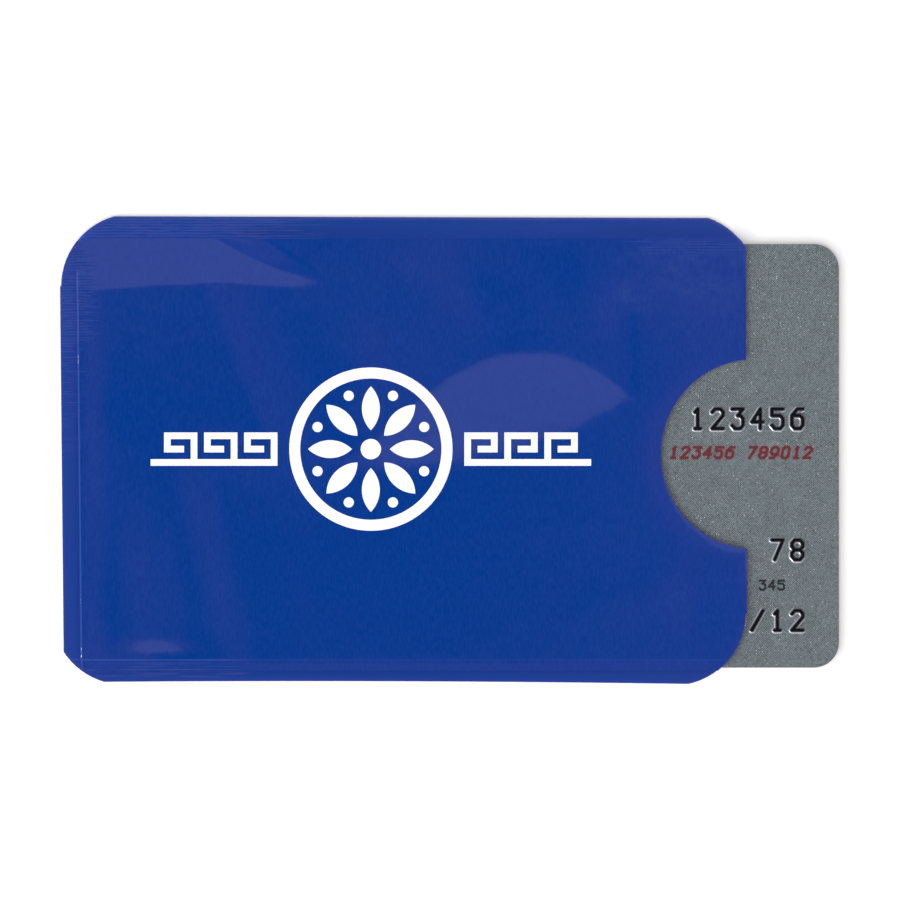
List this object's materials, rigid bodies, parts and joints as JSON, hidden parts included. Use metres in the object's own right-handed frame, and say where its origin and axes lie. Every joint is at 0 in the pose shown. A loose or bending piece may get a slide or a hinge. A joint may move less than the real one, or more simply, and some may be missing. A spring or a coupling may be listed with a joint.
{
  "type": "card sleeve",
  "caption": "Flat glossy foil-lined sleeve, heat-sealed on its closed edges, with a thumb notch at the open mouth and a bank-size card sliding part way out of it.",
  "frame": {"origin": "centre of the sleeve's back face, which rests on the surface it lies on", "axes": "+X along the sleeve towards its open mouth, +Y across it towards the side with the wide seal, +Z out of the printed front"},
  "size_m": [0.0993, 0.0596, 0.0017],
  "materials": {
    "blue_film": "high gloss",
    "foil": "bright",
    "liner": "satin",
    "seal": "satin",
    "white_ink": "satin",
    "card_overlay": "satin metallic print",
    "card_core": "matt",
    "inlay": "matt",
    "antenna": "etched copper",
    "chip": "matt",
    "stripe": "satin",
    "signature": "matt",
    "black_tipping": "gloss foil tipping",
    "red_ink": "satin",
    "dark_ink": "satin"
  },
  "bodies": {
    "sleeve": {"back_print_film": "blue_film", "back_shield_foil": "foil", "back_inner_liner": "liner", "top_seal": "seal", "bottom_seal": "seal", "end_seal": "seal", "front_inner_liner": "liner", "front_shield_foil": "foil", "front_print_film": "blue_film", "front_rosette_print": "white_ink", "front_key_bands_print": "white_ink"},
    "card": {"card_back_overlay": "card_overlay", "card_back_core": "card_core", "card_inlay": "inlay", "card_front_core": "card_core", "card_front_overlay": "card_overlay", "antenna_coil": "antenna", "rfid_chip": "chip", "magnetic_stripe": "stripe", "signature_panel": "signature", "embossed_number_row": "black_tipping", "embossed_pair_row": "black_tipping", "embossed_date_row": "black_tipping", "red_number_print": "red_ink", "small_number_print": "dark_ink"}
  },
  "joints": [
    {"name": "card_slide", "type": "slide", "parent": "sleeve", "child": "card", "axis": [1, 0, 0], "range_m": [-0.0108, 0.0745]}
  ]
}
